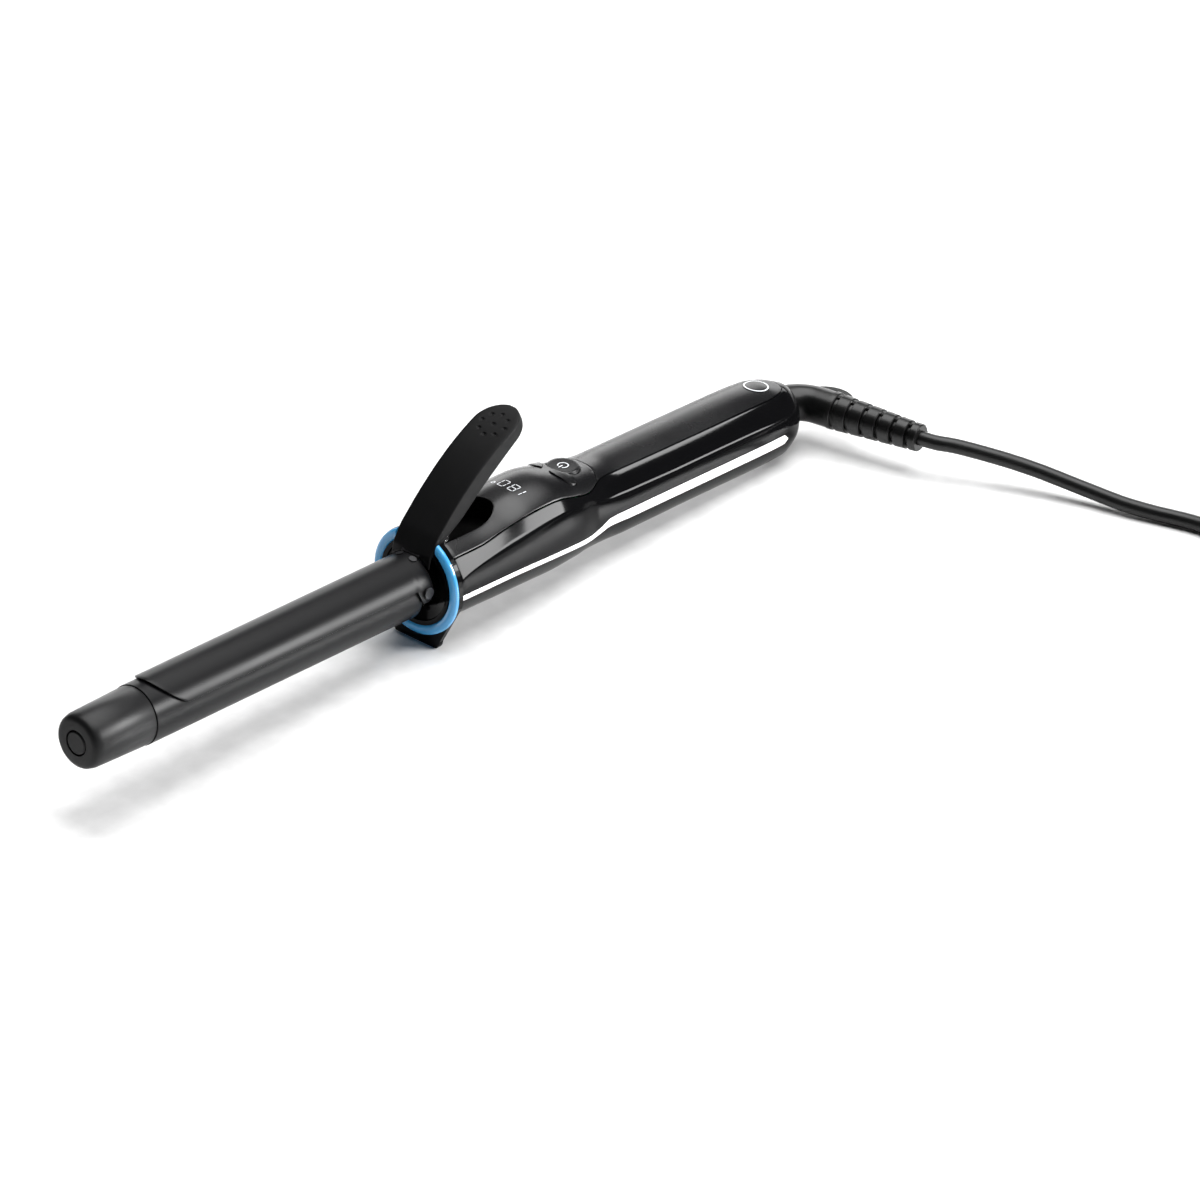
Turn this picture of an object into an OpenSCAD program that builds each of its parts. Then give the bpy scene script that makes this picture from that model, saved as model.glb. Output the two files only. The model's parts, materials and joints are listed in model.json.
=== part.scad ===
/* [Barrel] */
// Outer diameter of the heated barrel
barrel_d = 19; // [16:0.5:19]
// Wall of the barrel tube
barrel_wall = 0.9; // [0.6:0.1:1.2]
// From the light ring to the front face of the tip
tip_x = 143.4; // [130:0.2:160]
// Length of the cool tip cap
cap_length = 24; // [18:0.5:30]

/* [Clip] */
// Thickness of the clip's sheet
clip_sheet = 0.6; // [0.5:0.1:0.8]
// Gap between the closed clip and the barrel
clip_gap = 0.3; // [0.2:0.05:0.4]
// Rounded front end of the clip, ahead of the light ring
clip_front = 115.5; // [100:0.5:117]
// Lower edge of the clip, as an angle above the barrel's side
clip_edge = 20; // [10:1:30]
// Width of the thumb lever
lever_width = 15.3; // [13:0.1:15.8]

/* [Light ring] */
// Outer radius of the light ring
ring_r = 17.05; // [16.8:0.05:17.1]
// Inner radius of the light ring
ring_inner_r = 13.9; // [13.6:0.1:14.2]
// Half width of the gap that the lever passes through
lever_gap = 8.4; // [8.2:0.1:8.8]

/* [Handle] */
// Wall of the handle shells
wall = 1.8; // [1.4:0.1:2]
// Length of the handle behind the light ring
handle_length = 163.5; // [163:0.1:164]
// Drop of the stand's flat below the barrel axis
stand_drop = 20.6; // [20.2:0.1:21.2]
// Thickness of the bright side trim
trim_thickness = 0.4; // [0.3:0.1:0.5]

/* [Buttons] */
// Travel of each button
button_travel = 0.6; // [0.4:0.1:0.7]
// Gap around each button
button_gap = 0.3; // [0.25:0.05:0.4]

/* [Cord] */
// Diameter of the cord
cord_d = 4.8; // [4.6:0.1:4.9]
// Radius of the swivel stem
stem_r = 5.8; // [5.6:0.05:5.9]

/* [Hidden] */

fine = 96;
barrel_r = barrel_d / 2;
tube_end = -7.5;
cap_joint = -tip_x + cap_length;
screw_end = -99.2;
clip_in = barrel_r + clip_gap;
clip_out = clip_in + clip_sheet;
clip_rear = -3.5;
clip_nose_r = 9.8;
neck_r = 8.2;
waist_r = 7.2;
waist_front = -4.3;
waist_back = 5;
hinge_x = -6;
hinge_z = 2;
rivet_r = 1.2;
rivet_fit = 0.05;
notch_z = 8.9;
well_floor = 9.2;
well_lip = 11.8;
well_end = 30;
well_straight = 17.5;
ring_back = 0.35;
flange_front = 0.4;
flange_back = 2;
flange_bore = 12.8;
flange_r = 17.2;
foot_half = 9.6;
foot_corner = 3.2;
shell_front = 2.1;
end_wall = 0.9;
socket_front = 147;
socket_back = 156;
socket_fit = 0.06;
stem_z = 1;
elbow_bend = 10.6;
elbow_turn = 80;
elbow_x = 161;
elbow_straight = 5.4;
relief_length = 31.5;
relief_root_r = 6;
relief_tip_r = 4.4;
panel_arc_r = 15;
panel_arc_x = 57.3;
cover_end = 160.3;
seam_gap = 0.1;
power_x = 63.6;
power_r = 5.1;
power_top = 15.9;

// Handle stations: x, half width, top, bottom, roundness
STATIONS = [
    [2, 16.6, 16.2, -11.8, 2.2],
    [14, 16.5, 15.9, -11.8, 2.3],
    [26, 16.3, 16.4, -12.0, 2.4],
    [38, 16.0, 17.7, -12.5, 2.4],
    [48, 15.6, 18.2, -12.9, 2.4],
    [58, 14.9, 16.9, -12.7, 2.3],
    [66, 13.9, 15.0, -12.1, 2.3],
    [73, 13.8, 13.6, -12.0, 2.3],
    [80, 14.0, 12.9, -12.2, 2.3],
    [110, 14.0, 12.5, -12.1, 2.3],
    [140, 14.0, 12.1, -12.3, 2.3],
    [152, 13.6, 11.6, -12.1, 2.3],
    [158, 12.2, 10.5, -10.2, 2.2],
    [161.5, 9.9, 9.3, -7.6, 2.1],
    [163.5, 7.5, 8.5, -6.5, 2.0]
];
// Half width of the top covers between the two seams
SEAM = [
    [2, 12.9], [14, 12.8], [28, 12.0], [41, 11.9], [53, 12.0], [60, 11.9], [64.5, 11.1], [68, 9.8],
    [72, 8.4], [77, 7.8], [113, 7.9], [148, 7.6], [154, 6.8], [157, 5.6], [159, 3.9], [160.3, 0]
];
// Side trim: x, upper edge, lower edge
TRIM = [
    [2, 0.3, -1.4], [23, -0.1, -1.7], [47, -1.3, -3.0], [62, -2.1, -4.0], [66, -1.3, -3.4],
    [71, 0.5, -2.2], [79, 0.7, -2.3], [110, 0.5, -2.6], [152, 0.2, -2.8]
];
// Places along the handle where its shells have a ring of points
RINGS = [
    shell_front, 8, 14, 21, 28, 35, 42, 49, 55, 60, 64, 68, 72, 77, 84, 96, 112, 128, 142, 149,
    153, 156, 159, 161.5, 163.5
];

// Smooth interpolation, without overshoot, of column k of a table t at x
function piece_at(t, x, i = 0) = (i >= len(t) - 2 || x < t[i + 1][0]) ? i : piece_at(t, x, i + 1);
function rise(t, k, i) = (t[i + 1][k] - t[i][k]) / (t[i + 1][0] - t[i][0]);
function mean_rise(a, b) = a * b <= 0 ? 0 : 2 * a * b / (a + b);
function tangent(t, k, i) =
    i == 0 ? rise(t, k, 0)
    : i == len(t) - 1 ? rise(t, k, i - 1)
    : mean_rise(rise(t, k, i - 1), rise(t, k, i));
function at(t, k, x) =
    let (i = piece_at(t, x), h = t[i + 1][0] - t[i][0], s = (x - t[i][0]) / h)
    (2 * s ^ 3 - 3 * s ^ 2 + 1) * t[i][k] + (s ^ 3 - 2 * s ^ 2 + s) * h * tangent(t, k, i)
    + (3 * s ^ 2 - 2 * s ^ 3) * t[i + 1][k] + (s ^ 3 - s ^ 2) * h * tangent(t, k, i + 1);

// Point of the handle's section at x, at the angle a up from the +Y side, moved in by inset
MIDDLE_DROP = [[2, 1], [152, 1], [163.5, 0]];
function middle(x) = (at(STATIONS, 2, x) + at(STATIONS, 3, x)) / 2 - at(MIDDLE_DROP, 1, x);
function power_of(c, n) = sign(c) * abs(c) ^ (2 / n);
function skin(x, a, inset) =
    let (n = at(STATIONS, 4, x), m = middle(x), c = cos(a), s = sin(a),
        h = s > 0 ? at(STATIONS, 2, x) - m : m - at(STATIONS, 3, x))
    [x, (at(STATIONS, 1, x) - inset) * power_of(c, n), m + (h - inset) * power_of(s, n)];
function height_angle(x, z) =
    let (m = middle(x), h = z > m ? at(STATIONS, 2, x) - m : m - at(STATIONS, 3, x))
    sign(z - m) * asin((abs(z - m) / h) ^ (at(STATIONS, 4, x) / 2));
function wall_at(x) = x < 153 ? wall : wall - (wall - end_wall) * (x - 153) / (handle_length - 153);

// Pose of the iron as it stands: on the stand's flat and on the rear of the handle
pitch = 3;
lift = max([for (x = RINGS) x * sin(pitch) - at(STATIONS, 3, x) * cos(pitch)]);
centre_x = -20.4;

// Route of the cord that lies free, from the strain relief to the coil
ROUTE = [
    [157.2, -45.0, 11.7], [158.7, -50.0, 11.4], [161.7, -55.5, 11.0], [165.5, -63.2, 9.9],
    [169.2, -71.3, 8.6], [172.7, -79.7, 7.0], [175.5, -88.7, 5.4], [178.0, -97.8, 4.0],
    [180.1, -107.4, 3.0], [182.7, -116.4, 2.5], [185.1, -124.0, 2.4], [187.1, -132.0, 2.4],
    [188.1, -141.0, 2.4], [188.2, -151.0, 2.4], [187.5, -162.0, 2.6], [186.8, -174.0, 3.4]
];
coil_centre = [220.5, -178];
coil_mean_r = 26.5;
coil_half = 9.8;
coil_base = 1;
coil_height = 14.7;
end_arc_r = 31;
end_turn_r = 22;
end_straight = 3;
end_z = 17.9;
plug_z = 22.8;
plug_length = 24;
plug_relief_length = 18;
plug_half_w = 17.2;
plug_half_h = 6.7;
pin_r = 2;
pin_length = 19;
pin_spacing = 18.6;

// The cord's free end: over the coil, then a quarter turn to the plug
END_ROUTE = concat(
    [for (a = [170:8:266]) [coil_centre.x + end_arc_r * cos(a), coil_centre.y + end_arc_r * sin(a), end_z]],
    [for (a = [270:10:360]) [coil_centre.x + end_turn_r * cos(a),
        coil_centre.y - end_arc_r + end_turn_r + end_turn_r * sin(a),
        end_z + (plug_z - end_z) * (a - 270) / 90]],
    [[coil_centre.x + end_turn_r, coil_centre.y - end_arc_r + end_turn_r + end_straight, plug_z]]
);
plug_x = coil_centre.x + end_turn_r;
plug_tail_y = coil_centre.y - end_arc_r + end_turn_r + end_straight;

module placed() {
    translate([centre_x, 0, lift]) rotate([0, pitch, 0]) children();
}

// Closed skin from rings of points; each ring holds the same number of points, and the ends are capped
module lofted(rings, caps) {
    m = len(rings[0]);
    n = len(rings);
    pts = [for (r = rings) for (p = r) p];
    sides = [for (k = [0:n - 2]) for (i = [0:m - 1]) let (j = (i + 1) % m) each [
        [k * m + i, (k + 1) * m + i, k * m + j], [k * m + j, (k + 1) * m + i, (k + 1) * m + j]]];
    front = [for (f = caps) [f[0], f[2], f[1]]];
    back = [for (f = caps) (n - 1) * m * [1, 1, 1] + f];
    polyhedron(pts, concat(sides, front, back), convexity = 6);
}

// Solid of the handle, moved in by inset(x); faces count is around
module handle_solid(xs, count, inset) {
    rings = [for (x = xs) [for (i = [0:count - 1]) skin(x, (i + 0.5) * 360 / count, inset(x))]];
    lofted(rings, [for (i = [1:count - 2]) [0, i + 1, i]]);
}
module handle_skin() {
    difference() {
        handle_solid(RINGS, 40, function (x) 0);
        handle_solid(concat([shell_front - 1], [for (x = RINGS) if (x > shell_front) x], [handle_length + 1]),
            40, function (x) wall_at(min(x, handle_length)));
    }
}

// Strip on the handle's side between two heights
module side_strip(xs, side, thickness) {
    steps = 3;
    rings = [for (x = xs) let (a = height_angle(x, at(TRIM, 2, x)), b = height_angle(x, at(TRIM, 1, x))) [
        for (i = [0:steps]) skin(x, side > 0 ? a + (b - a) * i / steps : 180 - b + (b - a) * i / steps,
            -thickness - 0.02),
        for (i = [steps:-1:0]) skin(x, side > 0 ? a + (b - a) * i / steps : 180 - b + (b - a) * i / steps,
            -0.02)]];
    last = 2 * steps + 1;
    lofted(rings, [for (i = [0:steps - 1]) each [[i, last - i, last - 1 - i], [i, last - 1 - i, i + 1]]]);
}

// A round tube along a list of points
function unit(v) = v / norm(v);
function along(p, i) = unit(p[min(i + 1, len(p) - 1)] - p[max(i - 1, 0)]);
module tube(p, r, sides) {
    n = len(p);
    rings = [for (i = [0:n - 1]) let (d = along(p, i), u = unit(cross([0.02, 0.01, 1], d)), v = cross(d, u))
        for (a = [0:sides - 1]) p[i] + r * (cos(a * 360 / sides) * u + sin(a * 360 / sides) * v)];
    walls = [for (k = [0:n - 2]) for (a = [0:sides - 1]) let (b = (a + 1) % sides) each [
        [k * sides + a, (k + 1) * sides + a, k * sides + b],
        [k * sides + b, (k + 1) * sides + a, (k + 1) * sides + b]]];
    polyhedron(rings, concat(walls, [[for (a = [0:sides - 1]) a]],
        [[for (a = [sides - 1:-1:0]) (n - 1) * sides + a]]), convexity = 8);
}

// A solid of revolution around the barrel's axis, from points [x, r]
module turned(points, angle = 360, start = 0) {
    rotate([90, 0, 90]) rotate_extrude(angle = angle, start = start, $fn = fine)
        polygon([for (p = points) [p[1], p[0]]]);
}
module rod(x0, x1, r, y = 0, z = 0) {
    translate([x0, y, z]) rotate([0, 90, 0]) cylinder(h = x1 - x0, r = r, $fn = 48);
}

// Slot that the lever dips into: straight sides and an oval end
module lever_slot(low, grow = 0, high = 30) {
    translate([0, 0, low]) linear_extrude(high - low) polygon(concat(
        [[-9, lever_gap + grow], [-9, -lever_gap - grow]],
        [for (a = [-90:7.5:90]) [well_straight + (well_end - well_straight + grow) * cos(a),
            (lever_gap - 0.2 + grow) * sin(a)]]));
}

module barrel_tube() {
    color([0.10, 0.10, 0.11]) placed() turned([
        [cap_joint, barrel_r - barrel_wall], [cap_joint, barrel_r], [tube_end, barrel_r],
        [tube_end, barrel_r - barrel_wall]]);
}

module tip_cap() {
    front = -tip_x;
    r = barrel_r - 0.2;
    color([0.09, 0.09, 0.10]) placed() turned([
        [front + 3.4, 4], [front + 3.4, 1.5], [front + 5.5, 1.5], [front + 5.5, r - 1.5],
        [cap_joint - 4, r - 1.5],
        [cap_joint - 4, barrel_r - barrel_wall - 1.6], [cap_joint + 6, barrel_r - barrel_wall - 1.6],
        [cap_joint + 6, barrel_r - barrel_wall - 0.02], [cap_joint, barrel_r - barrel_wall - 0.02],
        [cap_joint, r], [front + 2.2, r - 0.7], [front + 1.3, r - 0.95], [front + 0.6, r - 1.4],
        [front + 0.2, r - 2], [front, r - 2.8], [front, 4]]);
}

module tip_plug() {
    color([0.11, 0.11, 0.12]) placed() turned([
        [-tip_x - 0.1, 0], [-tip_x - 0.1, 3.2], [-tip_x + 0.2, 3.6], [-tip_x + 1.2, 3.6], [-tip_x + 1.2, 0]]);
}

module tip_screw() {
    head = -tip_x + 1.4;
    seat = -tip_x + 3.3;
    color("silver") placed() turned([
        [head, 0], [head, 3.2], [seat, 3.2], [seat, 1.4], [screw_end, 1.4], [screw_end, 0]]);
}

// Half of the heater's split round block; its flat faces the heating elements
module heater_half(side) {
    placed() difference() {
        rod(-104, -30, 8.3);
        translate([-105, -9, side > 0 ? -12 : -1.3]) cube([76, 18, 13.3]);
        rod(-105, -98.6, 1.45);
        translate([-36, 0, side * 5]) rotate([0, 90, 0]) cylinder(h = 8, r = 1.7, $fn = 32);
    }
}
module heater_block_upper() { color([0.75, 0.75, 0.77]) heater_half(1); }
module heater_block_lower() { color([0.75, 0.75, 0.77]) heater_half(-1); }

module ptc_elements() {
    color([0.35, 0.30, 0.28]) placed() for (i = [0:2]) {
        translate([-98 + i * 22, -5, -1.2]) cube([20, 10, 2.4]);
    }
}

module temperature_sensor() {
    color([0.85, 0.65, 0.2]) placed() translate([0, 0, 5]) union() {
        rod(-35.5, -30, 1.2);
        rod(-30, 4, 0.5);
    }
}

module thermal_fuse() {
    color([0.8, 0.8, 0.75]) placed() translate([0, 0, -5]) union() {
        rod(-35.5, -24, 1.5);
        rod(-24, 4, 0.6);
    }
}

module heater_wires() {
    color([0.8, 0.1, 0.1]) placed() for (y = [-3.2, 3.2]) {
        rod(-29.5, 31, 0.9, y, 0);
    }
}

// Insulating neck that holds the barrel and carries the clip's hinge
module barrel_neck() {
    color([0.07, 0.07, 0.07]) placed() difference() {
        union() {
            turned([[-20, 6.4], [-20, barrel_r - barrel_wall - 0.02],
                [tube_end, barrel_r - barrel_wall - 0.02],
                [tube_end, neck_r], [waist_front, neck_r], [waist_front, waist_r], [waist_back, waist_r],
                [waist_back, neck_r], [7, neck_r], [7, 9.8], [9, 9.8], [9, 6.4]]);
            translate([hinge_x, -8.7, hinge_z]) rotate([-90, 0, 0]) cylinder(h = 17.4, r = 1.45, $fn = 48);
        }
        rod(-21, 10, 6.4);
        translate([hinge_x, -9, hinge_z]) rotate([-90, 0, 0]) cylinder(h = 18, r = 0.7, $fn = 48);
        translate([5, -10, well_floor - 1.3]) cube([6, 20, 4]);
    }
}

module hinge_rivets() {
    color("silver") placed() for (s = [-1, 1]) {
        translate([hinge_x, 0, hinge_z]) rotate([-90 * s, 0, 0]) {
            translate([0, 0, 7]) cylinder(h = 1.7, r = 0.68, $fn = 48);
            translate([0, 0, 8.7]) cylinder(h = 1.7, r = rivet_r, $fn = 48);
            translate([0, 0, 10.4]) cylinder(h = 0.5, r = 1.8, $fn = 48);
        }
    }
}

// Half-round clip with two ears for the hinge rivets
module clip_plate() {
    color([0.10, 0.10, 0.11]) placed() difference() {
        union() {
            intersection() {
                turned([[-clip_front, clip_in], [-clip_front, clip_out], [clip_rear, clip_out],
                    [clip_rear, clip_in]], 180 - 2 * clip_edge, clip_edge);
                union() {
                    translate([clip_nose_r - clip_front, 0, 0]) cylinder(h = 20, r = clip_nose_r, $fn = fine);
                    translate([clip_nose_r - clip_front, -20, 0]) cube([clip_front, 40, 20]);
                }
            }
            turned([[hinge_x - 2.6, clip_in], [hinge_x - 2.6, clip_out], [hinge_x + 1.6, clip_out],
                [hinge_x + 1.6, clip_in]], 192, -6);
        }
        translate([hinge_x, -20, hinge_z]) rotate([-90, 0, 0])
            cylinder(h = 40, r = rivet_r + rivet_fit, $fn = 48);
        at_clip_rivets() cylinder(h = 13, r = clip_rivet_r + 0.02, $fn = 32);
    }
}

// Height of the lever's top above the barrel axis
function lever_top(x) = 16.46 + 1.14 * x - 0.011 * x * x;
LEVER_BOTTOM = [[40.0, 42.6], [38.6, 41.0], [32, 36.3], [25, 31.2], [18.2, 26.0], [11.1, 20.0], [5, 15.9],
    [0.5, 12.4], [-2.6, 10.9], [-3.2, 10.5]];
lever_tip = 40.2;
paddle_x = 32.6;

module lever_side() {
    rotate([90, 0, 0]) translate([0, 0, -lever_width / 2]) linear_extrude(lever_width)
        polygon(concat([[-3.2, 10.9], [-2.4, 12.0], [-1.2, 14.4]], [for (x = [0:2.5:40]) [x, lever_top(x)]],
            LEVER_BOTTOM));
}
module lever_plan() {
    half = lever_width / 2;
    linear_extrude(60) polygon(concat([[-4, half], [-4, -half]],
        [for (a = [-90:7.5:90]) [paddle_x + (lever_tip - paddle_x) * cos(a), half * sin(a)]]));
}
module arm_shape(grow = 0) {
    rotate([90, 0, 0]) translate([0, 0, -3.5 - grow]) linear_extrude(7 + 2 * grow)
        polygon([[-3.4 - grow, 9.7], [-2.2, 9.7], [2.2, 14.2], [12, 22.6], [22, 31.0], [21.3, 32.0 + grow],
            [11.4, 23.8 + grow], [1.2, 15.4 + grow], [-3.4 - grow, 10.6 + grow]]);
}
// Radial places of the two rivets that hold the lever's arm under the clip
clip_rivet_r = 0.78;
module at_clip_rivets() {
    for (side = [-1, 1]) rotate([side * 14.5, 0, 0]) translate([-5, 0, 0]) children();
}
// Steel arm: a saddle under the clip and a tongue up inside the lever
saddle_r = 9.3;
module lever_arm() {
    color("silver") placed() difference() {
        union() {
            turned([[-7.2, saddle_r], [-7.2, clip_in - 0.01], [-2.2, clip_in - 0.01], [-2.2, saddle_r]],
                67, 56.5);
            arm_shape();
        }
        at_clip_rivets() cylinder(h = 13, r = clip_rivet_r + 0.02, $fn = 32);
    }
}
module clip_rivets() {
    color([0.16, 0.16, 0.17]) placed() at_clip_rivets() {
        translate([0, 0, saddle_r]) cylinder(h = clip_out - saddle_r, r = clip_rivet_r, $fn = 32);
        translate([0, 0, clip_out]) cylinder(h = 0.35, r = 1.2, $fn = 32);
    }
}
module clip_lever() {
    color([0.12, 0.12, 0.12]) placed() difference() {
        intersection() {
            lever_side();
            lever_plan();
        }
        arm_shape(0.02);
        rotate([0, 90, 0]) translate([0, 0, -8]) cylinder(h = 8, r = clip_out + 0.02, $fn = fine);
        for (i = [0:8]) {
            dimple(i);
        }
    }
}
// Finger dimples: one in the middle and eight around it
module dimple(i) {
    a = i * 45;
    x = 31.3 + (i == 8 ? 0 : 4 * cos(a));
    y = i == 8 ? 0 : 4.4 * sin(a);
    translate([x, y, lever_top(x) + 0.55]) sphere(r = 0.9, $fn = 24);
}

spring_x = 9;
spring_top = 17.5;
spring_turns = 4;
module clip_spring() {
    steps = 14;
    bottom = well_floor + 0.4;
    rise_all = spring_top - 0.4 - bottom;
    path = [for (i = [0:spring_turns * steps]) let (a = i * 360 / steps)
        [spring_x + 2.8 * cos(a), 2.8 * sin(a), bottom + rise_all * i / (spring_turns * steps)]];
    color("silver") placed() tube(path, 0.35, 6);
}

module guard_collar() {
    color([0.05, 0.05, 0.05]) placed() difference() {
        turned([[1.2, 8.3], [0.6, 9.6], [-0.4, 12.2], [-0.9, 12.5], [-1.0, 13.1], [-1.0, ring_inner_r - 0.05],
            [ring_back, ring_inner_r - 0.05], [ring_back, flange_bore - 0.05],
            [flange_back, flange_bore - 0.05],
            [flange_back, 9.8], [6.9, 9.8], [6.9, 8.3]]);
        lever_slot(notch_z);
    }
}

ring_gap = 8.1;
module light_ring() {
    mid = (ring_r + ring_inner_r) / 2;
    half = (ring_r - ring_inner_r) / 2;
    color([0.35, 0.66, 0.86]) placed() difference() {
        turned(concat(
            [for (a = [180:15:360]) [1.1 * sin(a) - 0.2, mid + half * cos(a)]],
            [[ring_back, mid + half], [ring_back, mid - half]]));
        translate([-3, -ring_gap, 0]) cube([6, 2 * ring_gap, 20]);
    }
}
module ring_led_board() {
    color([0.1, 0.35, 0.2]) placed() difference() {
        turned([[1, 14.2], [1, 16.4], [1.5, 16.4], [1.5, 14.2]]);
        lever_slot(notch_z - 2, 1);
    }
}
module ring_leds() {
    color([0.95, 0.95, 0.9]) placed() for (a = [130:40:410]) {
        rotate([a - 90, 0, 0]) translate([0.5, -1, 14.4]) cube([0.5, 2, 1.6]);
    }
}

// Outline of the stand: round, with a flat-bottomed foot; x is across, y is up
function stand_outline() = let (y = foot_corner - stand_drop) concat(
    [for (a = [-12:6:192]) flange_r * [cos(a), sin(a)]],
    [for (a = [180:15:270]) [-foot_half + foot_corner + foot_corner * cos(a), y + foot_corner * sin(a)]],
    [for (a = [270:15:360]) [foot_half - foot_corner + foot_corner * cos(a), y + foot_corner * sin(a)]]
);
module stand_flange() {
    color([0.05, 0.05, 0.05]) intersection() {
        placed() difference() {
            translate([flange_front, 0, 0]) rotate([90, 0, 90]) linear_extrude(flange_back - flange_front)
                polygon(stand_outline());
            rod(0, 10, flange_bore);
            turned([[0, 14.0], [0, 16.6], [1.5, 16.6], [1.5, 14.0]]);
            lever_slot(notch_z);
        }
        translate([-200, -50, 0]) cube([400, 100, 100]);
    }
}

// Plan outline of the two top covers; a positive grow makes it wider
function cover_outline(grow) = let (xs = [for (x = SEAM) x[0]], fine_xs = [for (i = [0:len(xs) - 2])
    for (t = [0, 0.5]) xs[i] + (xs[i + 1] - xs[i]) * t]) concat(
    [[-10, SEAM[0][1] + grow]], [for (x = fine_xs) [x, at(SEAM, 1, x) + grow]], [[cover_end + grow, 0]],
    [for (i = [len(fine_xs) - 1:-1:0]) [fine_xs[i], -at(SEAM, 1, fine_xs[i]) - grow]],
    [[-10, -SEAM[0][1] - grow]]);

module lower_shell() {
    color([0.06, 0.06, 0.06]) placed() difference() {
        handle_skin();
        translate([0, 0, 5]) linear_extrude(30) polygon(cover_outline(0));
    }
}
module panel_edge(gap) {
    translate([panel_arc_x, 0, 0]) cylinder(h = 40, r = panel_arc_r + gap, $fn = fine);
    translate([panel_arc_x - 80, -20, 0]) cube([80, 40, 40]);
}
// Crescent button beside the power button: points ahead of its centre and out to one side
LEAF = [[-8.0, 1.6], [-8.3, 3.2], [-8.1, 5.0], [-7.3, 7.1], [-5.6, 9.2], [-3.6, 8.9], [-3.5, 7.5],
    [-4.1, 5.7], [-5.1, 4.1], [-6.4, 2.7], [-7.4, 1.8]];
LEAF_CENTRE = [-5.9, 6];
module leaf_shape(side, grow) {
    translate([power_x, 0]) scale([1, side])
        polygon([for (p = LEAF) p + grow * unit(p - LEAF_CENTRE)]);
}
module control_panel() {
    color([0.14, 0.14, 0.15]) placed() difference() {
        intersection() {
            handle_skin();
            translate([0, 0, 5]) linear_extrude(30) polygon(cover_outline(-seam_gap));
            panel_edge(-seam_gap / 2);
        }
        lever_slot(5);
        translate([power_x, 0, 5]) cylinder(h = 20, r = power_r + button_gap, $fn = fine);
        translate([0, 0, 5]) linear_extrude(20) leaf_shape(1, button_gap);
        translate([0, 0, 5]) linear_extrude(20) leaf_shape(-1, button_gap);
    }
}
module rear_cover() {
    color([0.14, 0.14, 0.15]) placed() difference() {
        intersection() {
            handle_skin();
            translate([0, 0, 5]) linear_extrude(30) polygon(cover_outline(-seam_gap));
        }
        panel_edge(seam_gap / 2);
        translate([badge_x, 0, 9]) cylinder(h = 6, r = badge_r + 0.02, $fn = fine);
    }
}
// Well under the panel's slot: wide enough for the lever, with a thin lip up into the slot
module lever_well() {
    color([0.04, 0.04, 0.04]) placed() difference() {
        intersection() {
            union() {
                lever_slot(well_floor - 1.2, 0.6, well_lip);
                lever_slot(well_lip, -0.05, 13.4);
            }
            translate([7.1, -20, 0]) cube([40, 40, 40]);
        }
        lever_slot(well_floor, -0.35);
    }
}

module trim_strip(side) {
    xs = concat([2.2], [for (x = RINGS) if (x > 7 && x < 149.5) x], [151.5]);
    placed() side_strip(xs, side, trim_thickness);
}
module trim_left() { color("white") trim_strip(-1); }
module trim_right() { color("white") trim_strip(1); }

module display_module() {
    color([0.2, 0.2, 0.2]) placed() translate([35, -6.5, 9.2]) cube([9, 13, 5.2]);
}
module control_board() {
    color([0.1, 0.4, 0.2]) placed() translate([32.4, -8, 7.8]) cube([38.6, 16, 1.2]);
}
module button_switches() {
    color([0.25, 0.25, 0.25]) placed() {
        translate([power_x - 2.5, -2.5, 9.1]) cube([5, 5, 2.2]);
        for (s = [-1, 1]) {
            translate([power_x - 7.4, s * 6 - 1.5, 9.1]) cube([3, 3, 1.6]);
        }
    }
}
module button_power() {
    color([0.2, 0.2, 0.21]) placed() translate([power_x, 0, 0]) {
        translate([0, 0, power_top - 2.6]) cylinder(h = 2.6, r = power_r, $fn = fine);
        translate([0, 0, 11.3 + button_travel + 0.2]) cylinder(h = 3, r = 1.6, $fn = 32);
    }
}
module side_button(side) {
    color([0.2, 0.2, 0.21]) placed() {
        intersection() {
            handle_skin();
            translate([0, 0, 5]) linear_extrude(20) leaf_shape(side, 0);
        }
        translate([power_x - 5.9, side * 6, 10.7 + button_travel + 0.2]) cylinder(h = 3, r = 0.9, $fn = 32);
    }
}
module button_plus() { side_button(1); }
module button_minus() { side_button(-1); }

module main_board() {
    color([0.1, 0.4, 0.2]) placed() difference() {
        translate([34, -10, -3.6]) cube([96, 20, 1.6]);
        for (x = POST_X) for (y = [-POST_Y, POST_Y]) {
            translate([x, y, -4]) cylinder(h = 3, r = 1.15, $fn = 48);
        }
    }
}
module film_capacitor() {
    color([0.75, 0.6, 0.1]) placed() translate([86, -6, -2.0]) cube([14, 8, 9]);
}
module triac() {
    color([0.1, 0.1, 0.1]) placed() translate([112, -5, -2.0]) cube([4.5, 10, 9]);
}
POST_X = [40, 124];
POST_Y = 6;
module board_posts() {
    color([0.3, 0.3, 0.3]) placed() for (x = POST_X) for (y = [-POST_Y, POST_Y]) difference() {
        translate([x, y, -8.5]) cylinder(h = 4.9, r = 2, $fn = 48);
        translate([x, y, -12]) cylinder(h = 10, r = 1.1, $fn = 48);
    }
}
module board_screws() {
    color("silver") placed() for (x = POST_X) for (y = [-POST_Y, POST_Y]) {
        translate([x, y, -8.5]) cylinder(h = 6.5, r = 1.08, $fn = 32);
        translate([x, y, -2.0]) cylinder(h = 1.4, r = 2.2, $fn = 32);
    }
}
badge_x = 151.5;
badge_r = 4.2;
module end_badge() {
    color([0.9, 0.9, 0.9]) placed() translate([badge_x, 0, 10.4]) cylinder(h = 1.4, r = badge_r, $fn = fine);
}

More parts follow.
